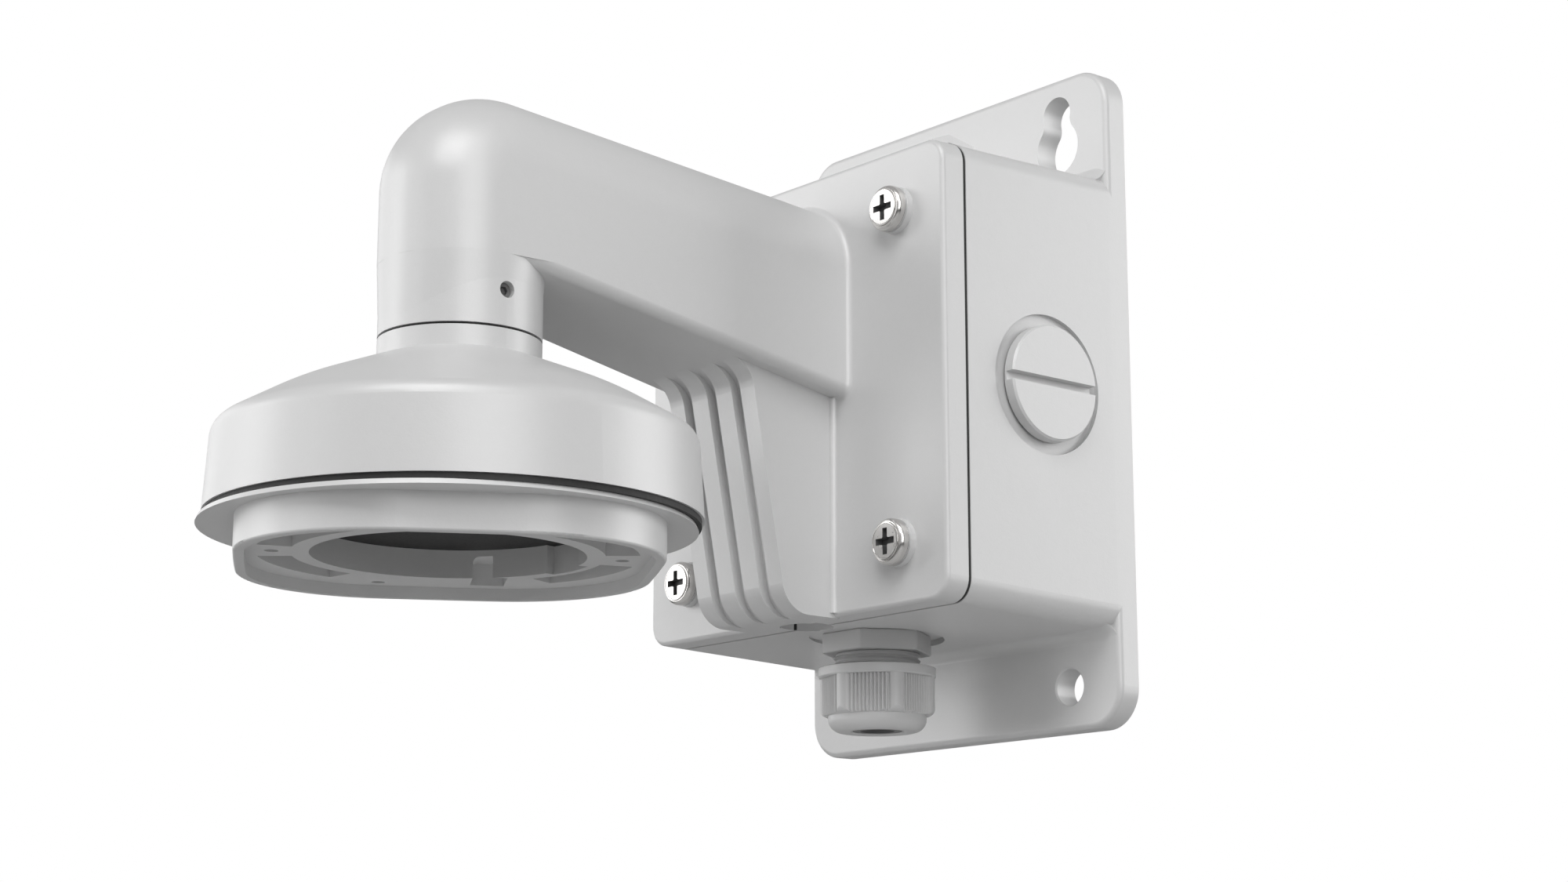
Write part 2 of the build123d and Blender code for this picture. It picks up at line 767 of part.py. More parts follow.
with BuildPart() as cap_posts:
    with BuildSketch(adapter_plane.offset(cap_bottom)):
        with Locations(*post_places):
            Circle(post_radius)
    extrude(amount=cap_height)
    add(cap_outside.part, mode=Mode.INTERSECT)

with BuildPart() as mounting_cap:
    add(cap_outside.part)
    revolve(cap_profile(cap_wall), axis=tube_axis, mode=Mode.SUBTRACT)
    add(cap_posts.part)
    with BuildSketch(Plane.XY.offset(neck_top - cap_wall / 2)):
        with Locations((0, -tube_depth)):
            Circle(spigot_radius)
    extrude(amount=spigot_length + cap_wall / 2)
    with BuildSketch(Plane.XY.offset(dome_start - 2 * cap_wall)):
        with Locations((0, -tube_depth)):
            Circle(cap_bore)
    extrude(amount=spigot_length + 4 * cap_wall, mode=Mode.SUBTRACT)
    with BuildSketch(adapter_plane.offset(cap_bottom)):
        with Locations(*post_places):
            Circle(adapter_screw_radius + running_gap)
    extrude(amount=post_hole_depth, mode=Mode.SUBTRACT)
mounting_cap.part.label = "mounting_cap"
export_step(mounting_cap.part, "parts/mounting_cap.step")

# ---- ring seal in the neck seam -----------------------------------------------------------
with BuildPart() as neck_oring:
    with BuildSketch(Plane.XY.offset(neck_top)):
        with Locations((0, -tube_depth)):
            Circle(tube_radius - neck_seam)
            Circle(spigot_radius + running_gap, mode=Mode.SUBTRACT)
    extrude(amount=neck_seam - 2 * running_gap)
neck_oring.part.label = "neck_oring"
export_step(neck_oring.part, "parts/neck_oring.step")

# ---- rubber sheet between cap and adapter -------------------------------------------------
with BuildPart() as cap_gasket:
    with BuildSketch(Plane.XY.offset(sheet_bottom)):
        with Locations((0, -tube_depth)):
            Circle(sheet_radius)
            Circle(sheet_hole, mode=Mode.SUBTRACT)
    extrude(amount=sheet_thickness - seal_gap)
    with BuildSketch(adapter_plane.offset(sheet_bottom)):
        with Locations(*post_places):
            Circle(adapter_screw_radius + fit_gap)
    extrude(amount=sheet_thickness, mode=Mode.SUBTRACT)
cap_gasket.part.label = "cap_gasket"
export_step(cap_gasket.part, "parts/cap_gasket.step")


def ring_sector(inner, outer_edge, start, end):
    """Part of a ring between two radii and two angles."""
    with BuildSketch() as sector:
        with BuildLine():
            rim = CenterArc((0, 0), outer_edge, start, end - start)
            hub = CenterArc((0, 0), inner, start, end - start)
            Line(rim @ 0, hub @ 0)
            Line(rim @ 1, hub @ 1)
        make_face()
    return sector.sketch


def bowed_square(inset=0.0):
    """Square with bowed sides and large round corners, drawn in by inset."""
    half = boss_half - inset
    with BuildSketch() as square:
        with BuildLine():
            for turn in range(4):
                along = Rot(0, 0, 90 * turn)
                first = (along * Vertex(half, -half)).center()
                middle = (along * Vertex(half + boss_bow, 0)).center()
                last = (along * Vertex(half, half)).center()
                ThreePointArc(first, middle, last)
        make_face()
        fillet(square.vertices(), boss_corner - inset)
    return square.sketch


# ---- adapter plate: bowed square boss on a round flange -----------------------------------
with BuildPart() as adapter_plate:
    with BuildSketch(adapter_plane.offset(flange_bottom)):
        Circle(flange_radius)
    flange_taper = degrees(atan((flange_radius - flange_top_radius) / flange_thickness))
    extrude(amount=flange_thickness, taper=flange_taper)
    extrude(adapter_plane.offset(rim_bottom) * bowed_square(), amount=rim_height + flange_thickness / 2)
    fillet(adapter_plate.faces().sort_by(Axis.Z)[0].edges(), rim_round)
    extrude(adapter_plane.offset(rim_bottom) * bowed_square(rim_width),
            amount=recess_depth, mode=Mode.SUBTRACT)
    with BuildSketch(adapter_plane.offset(rim_bottom)):
        Circle(adapter_hole)
        add(ring_sector(adapter_hole - overlap, adapter_hole + relief_depth, relief_start, relief_end))
    extrude(amount=rim_height + flange_thickness, mode=Mode.SUBTRACT)
    with BuildSketch(adapter_plane.offset(recess_floor)):
        for side in (0, 180):
            for start in (pocket_start, -pocket_end):
                span = pocket_end - pocket_start
                add(ring_sector(pocket_inner, pocket_outer, side + start, side + start + span))
    extrude(amount=pocket_depth, mode=Mode.SUBTRACT)
    notch_plane = Plane(
        origin=adapter_plane.from_local_coords((notch_offset, adapter_hole - relief_depth, recess_floor)),
        x_dir=adapter_plane.x_dir,
        z_dir=adapter_plane.y_dir,
    )
    with BuildSketch(notch_plane):
        RectangleRounded(notch_width, 2 * pocket_depth, notch_round)
    extrude(amount=pocket_outer - adapter_hole, mode=Mode.SUBTRACT)
    with BuildSketch(adapter_plane.offset(recess_floor)):
        with PolarLocations(camera_screw_circle, 2):
            Circle(camera_screw_radius)
        with PolarLocations(camera_screw_circle_b, 2, start_angle=camera_screw_angle_b):
            Circle(camera_screw_radius)
    extrude(amount=camera_screw_depth, mode=Mode.SUBTRACT)
    with BuildSketch(adapter_plane.offset(pocket_floor)):
        with Locations(*post_places):
            Circle(adapter_screw_radius + fit_gap)
    extrude(amount=2 * flange_thickness, mode=Mode.SUBTRACT)
adapter_plate.part.label = "adapter_plate"
export_step(adapter_plate.part, "parts/adapter_plate.step")

with BuildPart() as adapter_screws:
    with BuildSketch(adapter_plane.offset(pocket_floor)):
        with Locations(*post_places):
            Circle(adapter_screw_head)
    extrude(amount=-adapter_screw_head_height)
    with BuildSketch(adapter_plane.offset(pocket_floor)):
        with Locations(*post_places):
            Circle(adapter_screw_radius)
    extrude(amount=adapter_screw_length)
    with BuildSketch(adapter_plane.offset(pocket_floor - adapter_screw_head_height)):
        with Locations(*post_places):
            RegularPolygon(adapter_screw_socket, 6)
    extrude(amount=adapter_screw_head_height / 2, mode=Mode.SUBTRACT)
adapter_screws.part.label = "adapter_screws"
export_step(adapter_screws.part, "parts/adapter_screws.step")

# ---- cable gland --------------------------------------------------------------------------
seal_bottom = spot_z - seal_thickness
hex_bottom = seal_bottom - gland_hex_height
neck_bottom = hex_bottom - gland_neck_height
collar_bottom = neck_bottom - nut_collar_height
grip_bottom = collar_bottom - nut_grip_height
nut_face = grip_bottom - nut_nose_height
locknut_top = gland_pad_z + locknut_height
gland_centre = (0, -gland_depth)

with BuildPart() as gland_seal_washer:
    with BuildSketch(Plane.XY.offset(seal_bottom)):
        with Locations(gland_centre):
            Circle(seal_radius)
            Circle(gland_thread + running_gap, mode=Mode.SUBTRACT)
    extrude(amount=seal_thickness)
gland_seal_washer.part.label = "gland_seal_washer"
export_step(gland_seal_washer.part, "parts/gland_seal_washer.step")

with BuildPart() as gland_body:
    with BuildSketch(Plane.XY.offset(hex_bottom)):
        with Locations(gland_centre):
            RegularPolygon(gland_hex / 2, 6, major_radius=False, rotation=gland_turn)
    extrude(amount=gland_hex_height)
    with BuildSketch(Plane.XY.offset(hex_bottom)):
        with Locations(gland_centre):
            Circle(gland_thread)
    extrude(amount=locknut_top + 2 * overlap - hex_bottom)
    with BuildSketch(Plane.XY.offset(hex_bottom)):
        with Locations(gland_centre):
            Circle(gland_neck)
    extrude(amount=-(gland_neck_height + nut_collar_height + nut_grip_height / 2))
    with BuildSketch(Plane.XY.offset(grip_bottom)):
        with Locations(gland_centre):
            Circle(gland_bore)
    extrude(amount=locknut_top + 3 * overlap - grip_bottom, mode=Mode.SUBTRACT)
gland_body.part.label = "gland_body"
export_step(gland_body.part, "parts/gland_body.step")

with BuildPart() as gland_locknut:
    with BuildSketch(Plane.XY.offset(gland_pad_z)):
        with Locations(gland_centre):
            RegularPolygon(gland_hex / 2, 6, major_radius=False)
            Circle(gland_thread + running_gap, mode=Mode.SUBTRACT)
    extrude(amount=locknut_height)
gland_locknut.part.label = "gland_locknut"
export_step(gland_locknut.part, "parts/gland_locknut.step")

with BuildPart() as gland_dome_nut:
    with BuildSketch(Plane.XY.offset(neck_bottom)):
        with Locations(gland_centre):
            Circle(nut_collar_radius)
    extrude(amount=-nut_collar_height)
    with BuildSketch(Plane.XY.offset(collar_bottom)):
        with Locations(gland_centre):
            Circle(nut_grip_radius)
            slots = lobe_count * (flutes_per_lobe + 1)
            for lobe in range(lobe_count):
                for flute in range(flutes_per_lobe):
                    turn = (lobe * (flutes_per_lobe + 1) + flute + 1) * 360 / slots
                    with PolarLocations(nut_grip_radius, 1, start_angle=turn):
                        Rectangle(2 * flute_depth, 2 * flute_depth, rotation=45, mode=Mode.SUBTRACT)
    extrude(amount=-nut_grip_height)
    with BuildSketch(Plane.XZ.offset(gland_depth)):
        with BuildLine():
            shoulder = grip_bottom + hair
            nose_start = (nut_nose_radius, grip_bottom - nut_nose_height / 3)
            nose_middle_radius = nut_face_radius + nut_nose_flank * (nut_nose_radius - nut_face_radius)
            nose_middle = (nose_middle_radius, nut_face + nut_nose_lift * nut_nose_height)
            Polyline((0, shoulder), (nut_nose_radius, shoulder), nose_start)
            ThreePointArc(nose_start, nose_middle, (nut_face_radius, nut_face))
            Polyline((nut_face_radius, nut_face), (0, nut_face), (0, shoulder))
        make_face()
    revolve(axis=Axis((0, -gland_depth, 0), (0, 0, 1)))
    nut_roof = neck_bottom - nut_collar_height - nut_grip_height + nut_wall
    with BuildSketch(Plane.XY.offset(nut_roof)):
        with Locations(gland_centre):
            Circle(gland_neck + running_gap)
    extrude(amount=neck_bottom - nut_roof + overlap, mode=Mode.SUBTRACT)
    with BuildSketch(Plane.XY.offset(nut_face - overlap)):
        with Locations(gland_centre):
            Circle(nut_mouth)
    extrude(amount=neck_bottom - nut_face, mode=Mode.SUBTRACT)
gland_dome_nut.part.label = "gland_dome_nut"
export_step(gland_dome_nut.part, "parts/gland_dome_nut.step")

with BuildPart() as gland_insert:
    neck_end = neck_bottom - nut_collar_height - nut_grip_height / 2
    with BuildSketch(Plane.XY.offset(nut_face + fit_gap)):
        with Locations(gland_centre):
            Circle(nut_mouth - fit_gap)
    extrude(amount=neck_end - nut_face - fit_gap)
    with BuildSketch(Plane.XY.offset(nut_roof + fit_gap / 2)):
        with Locations(gland_centre):
            Circle(gland_neck - overlap)
    extrude(amount=neck_end - running_gap - nut_roof - fit_gap / 2)
    with BuildSketch(Plane.XY.offset(neck_end - running_gap)):
        with Locations(gland_centre):
            Circle(gland_bore - running_gap)
    extrude(amount=nut_collar_height + nut_grip_height / 2)
    with BuildSketch(Plane.XY.offset(nut_face)):
        with Locations(gland_centre):
            Circle(insert_bore)
    extrude(amount=neck_bottom - nut_face + 2 * overlap, mode=Mode.SUBTRACT)
gland_insert.part.label = "gland_insert"
export_step(gland_insert.part, "parts/gland_insert.step")

# ---- side plug ----------------------------------------------------------------------------
plug_head_x = plug_recess_x + plug_ring_height
with BuildPart() as side_plug:
    with BuildSketch(Plane.YZ.offset(plug_head_x)):
        with Locations((-plug_depth, plug_z)):
            Circle(plug_head)
    extrude(amount=plug_head_thickness)
    chamfer(side_plug.faces().sort_by(Axis.X)[-1].edges(), plug_bevel)
    with BuildSketch(Plane.YZ.offset(plug_head_x)):
        with Locations((-plug_depth, plug_z)):
            Circle(plug_thread)
    extrude(amount=-plug_length)
    with BuildSketch(Plane.YZ.offset(plug_head_x + plug_head_thickness)):
        with Locations((-plug_depth, plug_z)):
            Rectangle(3 * plug_head, plug_slot_width)
    extrude(amount=-plug_slot_depth, mode=Mode.SUBTRACT)
side_plug.part.label = "side_plug"
export_step(side_plug.part, "parts/side_plug.step")

with BuildPart() as side_plug_oring:
    with BuildSketch(Plane.YZ.offset(plug_recess_x)):
        with Locations((-plug_depth, plug_z)):
            Circle(plug_ring_radius)
            Circle(plug_thread + running_gap, mode=Mode.SUBTRACT)
    extrude(amount=plug_ring_height - running_gap)
side_plug_oring.part.label = "side_plug_oring"
export_step(side_plug_oring.part, "parts/side_plug_oring.step")

# ---- inside the box: cable grommet and earth screw ----------------------------------------
with BuildPart() as rear_grommet:
    with BuildSketch(Plane.XZ):
        with Locations((0, rear_hole_z)):
            Circle(rear_hole_radius)
    extrude(amount=back_wall)
    with BuildSketch(Plane.XZ.offset(back_wall)):
        with Locations((0, rear_hole_z)):
            Circle(grommet_flange)
    extrude(amount=grommet_flange_thickness)
    with BuildSketch(Plane.XZ):
        with Locations((0, rear_hole_z)):
            Circle(grommet_bore)
    extrude(amount=back_wall + grommet_flange_thickness, mode=Mode.SUBTRACT)
rear_grommet.part.label = "rear_grommet"
export_step(rear_grommet.part, "parts/rear_grommet.step")

with BuildPart() as earth_screw:
    earth_seat = back_wall + earth_boss_height
    with BuildSketch(Plane.XZ.offset(earth_seat)):
        with Locations((earth_x, earth_z)):
            Circle(earth_head_radius)
    extrude(amount=earth_head_height)
    with BuildSketch(Plane.XZ.offset(earth_seat)):
        with Locations((earth_x, earth_z)):
            Circle(earth_screw_radius)
    extrude(amount=-earth_screw_length)
earth_screw.part.label = "earth_screw"
export_step(earth_screw.part, "parts/earth_screw.step")
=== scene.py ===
import json
from math import cos, pi, radians, sin, sqrt

import bmesh
import bpy
import numpy as np
from mathutils import Matrix, Vector


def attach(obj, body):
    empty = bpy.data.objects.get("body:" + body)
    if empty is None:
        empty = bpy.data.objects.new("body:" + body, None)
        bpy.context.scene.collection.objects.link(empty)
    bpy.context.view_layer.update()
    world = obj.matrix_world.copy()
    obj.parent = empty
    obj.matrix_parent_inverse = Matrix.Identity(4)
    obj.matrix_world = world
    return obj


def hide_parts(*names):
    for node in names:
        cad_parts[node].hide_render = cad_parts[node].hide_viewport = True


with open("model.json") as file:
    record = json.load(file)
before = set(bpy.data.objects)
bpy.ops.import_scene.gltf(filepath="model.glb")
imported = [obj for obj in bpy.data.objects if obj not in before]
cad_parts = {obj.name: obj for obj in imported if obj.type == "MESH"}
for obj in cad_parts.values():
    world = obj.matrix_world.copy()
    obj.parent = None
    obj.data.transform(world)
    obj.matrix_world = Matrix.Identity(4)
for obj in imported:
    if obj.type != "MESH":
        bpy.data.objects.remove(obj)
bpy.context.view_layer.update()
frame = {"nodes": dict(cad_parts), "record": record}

# Every length below is in millimetres, unless it says metres; this turns one into metres.
MM = 0.001


def bearing(azimuth, elevation):
    """Unit vector toward an azimuth and elevation in degrees: azimuth 0 points straight out of the wall."""
    a = radians(azimuth)
    e = radians(elevation)
    return Vector((sin(a) * cos(e), -cos(a) * cos(e), sin(e)))


# ---- camera -------------------------------------------------------------------------------
def place_camera(position, azimuth, elevation, lens):
    """Camera at a position in metres, looking back along a bearing, with no tilt to either side."""
    back = bearing(azimuth, elevation)
    right = bearing(azimuth + 90, 0)
    data = bpy.data.cameras.new("view")
    data.sensor_fit = "HORIZONTAL"
    data.sensor_width = 36.0
    data.lens = lens
    data.clip_start = 0.01
    data.clip_end = 50
    camera = bpy.data.objects.new("view", data)
    turn = Matrix((right, back.cross(right), back)).transposed().to_4x4()
    camera.matrix_world = Matrix.Translation(Vector(position)) @ turn
    bpy.context.collection.objects.link(camera)
    bpy.context.scene.camera = camera


place_camera(position=(0.5420, -0.5247, -0.1667), azimuth=49.96, elevation=-12.20, lens=62.54)
bpy.context.scene.view_settings.view_transform = "Standard"


# ---- shader expressions -------------------------------------------------------------------
# Outputs of shader nodes, by their place in the list.
OBJECT_COORDINATES = 3
CAMERA_RAY = 0
GLOSSY_RAY = 3
TRANSMISSION_RAY = 6


class Field:
    """A shader socket that plain arithmetic turns into Math nodes."""

    def __init__(self, graph, socket):
        self.graph = graph
        self.socket = socket

    def math(self, operation, *values):
        """Adds one Math node with this socket as its first value."""
        made = self.graph.node("Math", {"operation": operation}, self, *values)
        return made[0]

    def __add__(self, other):
        return self.math("ADD", other)

    def __sub__(self, other):
        return self.math("SUBTRACT", other)

    def __rsub__(self, other):
        return self.math("MULTIPLY", -1.0).math("ADD", other)

    def __mul__(self, other):
        return self.math("MULTIPLY", other)

    def __pow__(self, other):
        return self.math("POWER", other)

    def __gt__(self, other):
        return self.math("GREATER_THAN", other)

    def __abs__(self):
        return self.math("ABSOLUTE")

    __radd__ = __add__
    __rmul__ = __mul__

    def sine(self):
        """Sine of an angle in radians."""
        return self.math("SINE")

    def ramp(self, low, high):
        """0 up to low, 1 from high, smooth between."""
        settings = {"interpolation_type": "SMOOTHSTEP"}
        made = self.graph.node("MapRange", settings, self, low, high, 0.0, 1.0)
        return made[0]


class Graph:
    """Node tree of one material or of the world."""

    def __init__(self, tree):
        tree.nodes.clear()
        self.tree = tree

    def node(self, kind, settings, *values, **named):
        """Adds one node: its type, its settings, then its sockets' values or links in order or by name."""
        made = self.tree.nodes.new("ShaderNode" + kind)
        for key, value in settings.items():
            setattr(made, key, value)
        sockets = [s for s in made.inputs if s.enabled]
        pairs = list(zip(sockets, values))
        pairs += [(made.inputs[key.replace("_", " ")], value) for key, value in named.items()]
        for socket, value in pairs:
            if isinstance(value, Field):
                self.tree.links.new(value.socket, socket)
            else:
                socket.default_value = value
        return [Field(self, s) for s in made.outputs if s.enabled]

    def place(self):
        """Object coordinates, in metres in the part's own frame."""
        found = self.node("TexCoord", {})
        return found[OBJECT_COORDINATES]

    def noise(self, scale, detail=2.0, rough=0.5):
        """Soft noise between 0 and 1, scale cells to the metre."""
        found = self.node("TexNoise", {}, Vector=self.place(), Scale=scale, Detail=detail, Roughness=rough)
        return found[0]

    def axes(self):
        """The three object coordinates as numbers."""
        return self.node("SeparateXYZ", {}, self.place())

    def blend(self, share, first, second):
        """Mix of two colours."""
        found = self.node("Mix", {"data_type": "RGBA"}, share, first, second)
        return found[0]

    def bump(self, height, strength, distance):
        """Normal tilted by a height, where a height of 1 stands for the distance in metres."""
        found = self.node("Bump", {}, Strength=strength, Distance=distance, Height=height)
        return found[0]


def grey(level, warm=0.0):
    """A linear grey, with red raised and blue lowered by the share warm."""
    return (level * (1 + warm), level, level * (1 - warm), 1.0)


# ---- finishes -----------------------------------------------------------------------------
MATERIALS = {}


def material(name):
    """Registers a material under a name; its builder gets the graph and returns the Principled sockets."""
    def register(builder):
        made = bpy.data.materials.new(name)
        made.use_nodes = True
        graph = Graph(made.node_tree)
        shader = graph.node("BsdfPrincipled", {}, **builder(graph))
        graph.node("OutputMaterial", {}, Surface=shader[0])
        MATERIALS[name] = made
        return made
    return register


@material("white_coat")
def white_coat(g):
    """Satin powder coat: fine orange peel, a finer grain and slow unevenness of gloss."""
    peel = g.noise(420, 2.0)
    grain = g.noise(1900, 3.0, 0.6)
    slow = g.noise(16, 3.0)
    shade = 0.35 * slow + 0.4 * grain + 0.25 * peel
    height = peel * 0.6 + grain * 0.4
    return {
        "Base_Color": g.blend(shade, grey(0.60), grey(0.66)),
        "Roughness": 0.34 + 0.06 * slow + 0.05 * grain,
        "IOR": 1.8,
        "Coat_Weight": 0.15 + 0.1 * slow,
        "Coat_Roughness": 0.3,
        "Normal": g.bump(height, 0.35, 0.00012),
    }


@material("black_rubber")
def black_rubber(g):
    """Moulded rubber: dull, a little dusty in patches."""
    grain = g.noise(1500, 3.0, 0.6)
    dust = g.noise(60, 3.0).ramp(0.45, 0.8)
    return {
        "Base_Color": g.blend(dust * 0.5, grey(0.012), grey(0.035)),
        "Roughness": 0.55 + 0.2 * grain,
        "Normal": g.bump(grain, 0.3, 0.0001),
    }


@material("grey_rubber")
def grey_rubber(g):
    """Soft grey seal rubber, dull with a faint bloom."""
    bloom = g.noise(80, 3.0)
    grain = g.noise(1500, 3.0, 0.6)
    return {
        "Base_Color": g.blend(bloom, grey(0.17), grey(0.24)),
        "Roughness": 0.55 + 0.15 * grain,
        "Normal": g.bump(grain, 0.25, 0.0001),
    }


def moulded_nylon(g, dark, pale, smooth):
    """Nylon mottled with flow marks, from a dark to a pale grey, with a fine grain."""
    flow = g.noise(90, 3.0)
    grain = g.noise(1600, 2.0)
    return {
        "Base_Color": g.blend(flow, grey(dark), grey(pale)),
        "Roughness": smooth + 0.12 * flow,
        "Normal": g.bump(grain, 0.2, 0.0001),
    }


@material("grey_plastic")
def grey_plastic(g):
    """The gland body's nylon."""
    return moulded_nylon(g, 0.52, 0.58, 0.38)


@material("nut_plastic_painted_light")
def nut_plastic_painted_light(g):
    """The gland nut's nylon: the body's nylon painted paler, as painted light on the nut, and smoother."""
    # Painted light: greys of 0.63 to 0.70, against the body's 0.52 to 0.58, stand in for more light on the
    # nut.
    return moulded_nylon(g, 0.63, 0.70, 0.34)


@material("plated_steel")
def plated_steel(g):
    """Bright zinc plate with small dull spots."""
    spots = g.noise(700, 3.0)
    dull = g.noise(120, 3.0)
    return {
        "Base_Color": g.blend(dull, grey(0.62), grey(0.74)),
        "Metallic": 1.0,
        "Roughness": 0.16 + 0.16 * spots,
        "Normal": g.bump(spots, 0.15, 0.00005),
    }


# Cover screws: their axes, then depths in front of the wall.
SCREW_X = 42.8
SCREW_HEIGHTS = {"top": 40.5, "bottom": -46.8}
SCREW_SEAT = 69.5
SCREW_FACE = 72.35
SCREW_PAN = 72.27
CROSS_HALF = 3.4

# Where the screws' finish changes, from the painted shade in the cross recess to the ribbed pan, and the
# ribs' phase in radians to the metre.
RECESS_SHADE_DEPTH = 0.15
RECESS_SHADE_SPARE = 0.2
RIBS_DEPTH = 0.1
RIBS_RADIUS = 4.3
RIBS_WAVE = 11000


@material("screw_steel")
def screw_steel(g):
    """Bright nickel on the screw heads: faint ribs across the pan, and painted shade inside the driver's
    recess, dark grey, duller and less metallic.
    """
    x, y, z = g.axes()
    middle = (SCREW_HEIGHTS["top"] + SCREW_HEIGHTS["bottom"]) / 2 * MM
    spread = (SCREW_HEIGHTS["top"] - SCREW_HEIGHTS["bottom"]) / 2 * MM
    across = abs(x) - SCREW_X * MM
    along = abs(z - middle) - spread
    from_centre = (across * across + along * along) ** 0.5
    # Painted shade: below the pan's plane and within the cross's reach, the head is coloured dark grey,
    # rougher and less metallic.
    sunk = y > (RECESS_SHADE_DEPTH - SCREW_PAN) * MM
    painted_recess_shade = sunk * (1 - (from_centre > (CROSS_HALF + RECESS_SHADE_SPARE) * MM))
    behind = y > (RIBS_DEPTH - SCREW_PAN) * MM
    pan = (1 - behind) * (1 - (from_centre > RIBS_RADIUS * MM))
    ribs = (across * RIBS_WAVE).sine() * (along * RIBS_WAVE).sine()
    spots = g.noise(700, 3.0)
    dull = g.noise(120, 3.0)
    plate = g.blend(dull, grey(0.60, 0.025), grey(0.74, 0.02))
    return {
        # Colour: the painted shade of the cross recess over the plated steel.
        "Base_Color": g.blend(painted_recess_shade, plate, grey(0.125)),
        "Metallic": 1 - painted_recess_shade * 0.6,
        "Roughness": 0.13 + 0.12 * spots + painted_recess_shade * 0.4 + pan * 0.1,
        "Normal": g.bump(spots * 0.7 + ribs * pan * 0.3, 0.2, 0.00005),
    }


@material("brass")
def brass(g):
    """Turned brass, a little dulled."""
    dull = g.noise(140, 3.0)
    return {
        "Base_Color": g.blend(dull, (0.45, 0.30, 0.10, 1), (0.62, 0.43, 0.17, 1)),
        "Metallic": 1.0,
        "Roughness": 0.25 + 0.2 * dull,
    }


@material("dull_steel")
def dull_steel(g):
    """Plain steel deep in the tube's hole, a mid grey rather than black."""
    spots = g.noise(900, 3.0)
    return {
        "Base_Color": g.blend(spots, grey(0.16), grey(0.24)),
        "Metallic": 0.5,
        "Roughness": 0.5 + 0.15 * spots,
    }


# Finish of each material slot, and of the one node that looks different from the rest of its slot.
SLOT_MATERIALS = {
    "white_paint": "white_coat",
    "grey_plastic": "grey_plastic",
    "plated_steel": "plated_steel",
    "black_rubber": "black_rubber",
    "black_steel": "dull_steel",
    "brass": "brass",
}
NODE_MATERIALS = {"gland_insert": "grey_rubber"}
for subpart in frame["record"]["subparts"]:
    node = subpart["node"]
    finish = NODE_MATERIALS.get(node) or SLOT_MATERIALS[subpart["material_slot"]]
    mesh = frame["nodes"][node].data
    mesh.materials.clear()
    mesh.materials.append(MATERIALS[finish])


# ---- surfaces worked out on grids ---------------------------------------------------------
COLUMNS = 864
WELD = 1e-7  # metres
CREASE = 32.0  # degrees


def turns(columns):
    """Angles of the columns of a round grid, in equal steps of a full turn over their number."""
    return 2 * pi * np.arange(columns) / columns


def from_nearest(angle, count, shift=0.0):
    """Signed angle from the nearest of count equal divisions of a turn: the remainder, centred on zero."""
    step = 2 * pi / count
    return (angle - shift + step / 2) % step - step / 2


def ring_grid(sections, centre, columns=COLUMNS):
    """Rows of (radius, height) round a vertical axis: each may be one number or one for every column."""
    turn = turns(columns)
    rows = []
    for radius, height in sections:
        r = np.broadcast_to(np.asarray(radius, float), turn.shape)
        z = np.broadcast_to(np.asarray(height, float), turn.shape)
        rows.append(np.stack([centre[0] + r * np.cos(turn), centre[1] + r * np.sin(turn), z], -1))
    return np.stack(rows)


def closed_piece(name, grid, finish, slot, body, *replaced):
    """Mesh of a grid whose last row joins the first, or whose first and last rows are poles, creased where
    it turns sharply."""
    rows, columns = grid.shape[:2]
    poles = np.allclose(grid[0], grid[0, 0])
    row, column = np.meshgrid(np.arange(rows - poles), np.arange(columns), indexing="ij")
    next_row = (row + 1) % rows
    next_column = (column + 1) % columns
    quads = np.stack([row * columns + column, next_row * columns + column,
                      next_row * columns + next_column, row * columns + next_column], -1).reshape(-1, 4)
    mesh = bpy.data.meshes.new(name)
    mesh.from_pydata((grid.reshape(-1, 3) * MM).tolist(), [], quads.tolist())
    work = bmesh.new()
    work.from_mesh(mesh)
    bmesh.ops.remove_doubles(work, verts=work.verts, dist=WELD)
    bmesh.ops.recalc_face_normals(work, faces=work.faces)
    work.to_mesh(mesh)
    work.free()
    mesh.shade_smooth()
    mesh.set_sharp_from_angle(angle=radians(CREASE))
    mesh.materials.append(MATERIALS[finish])
    piece = bpy.data.objects.new(name, mesh)
    bpy.context.collection.objects.link(piece)
    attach(piece, body)
    if replaced:
        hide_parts(*replaced)


# ---- cable gland --------------------------------------------------------------------------
GLAND = (0.0, -36.6)
SEAT = -62.7
SEAL = 0.8
SEAL_GROOVE = 12.95
SEAL_INNER = 12.5
SEAL_OUTER = 12.9
SEAL_GAP = 0.02
BORE = 8.0
STEM_TOP = -51.2
STEM_RADIUS = 12.45
STEM_TIP = 12.1
STEM_BEVEL = 0.5
NECK_END = -79.6
NECK_RADIUS = 10.6
HEX_HEIGHT = 4.56
HEX_FLAT = 13.25
HEX_CORNER = 15.05
HEX_BEVEL = 0.25
HEX_TURN = radians(32.0)
CORNER_SOFT = 0.12
THREAD_PITCH = 1.5
THREAD_DEPTH = 0.8
THREAD_CREST = 11.75
THREAD_TURNS = 5
THREAD_ROWS = 12  # to each turn
THREAD_FULLNESS = 0.7


def hexagon(flat, corner, first):
    """Radius of a six-sided outline: flat over the cosine of the angle from the nearest flat, held below
    corner by a soft minimum."""
    sharp = flat / np.cos(from_nearest(turns(COLUMNS), 6, first))
    return corner - np.log1p(np.exp((corner - sharp) / CORNER_SOFT)) * CORNER_SOFT


def thread_row(height):
    """Crest radius less a rounded vee, whose phase climbs one pitch in each turn."""
    phase = (height / THREAD_PITCH + turns(COLUMNS) / (2 * pi)) % 1.0
    return THREAD_CREST - THREAD_DEPTH * (0.5 + 0.5 * np.cos(2 * pi * phase)) ** THREAD_FULLNESS


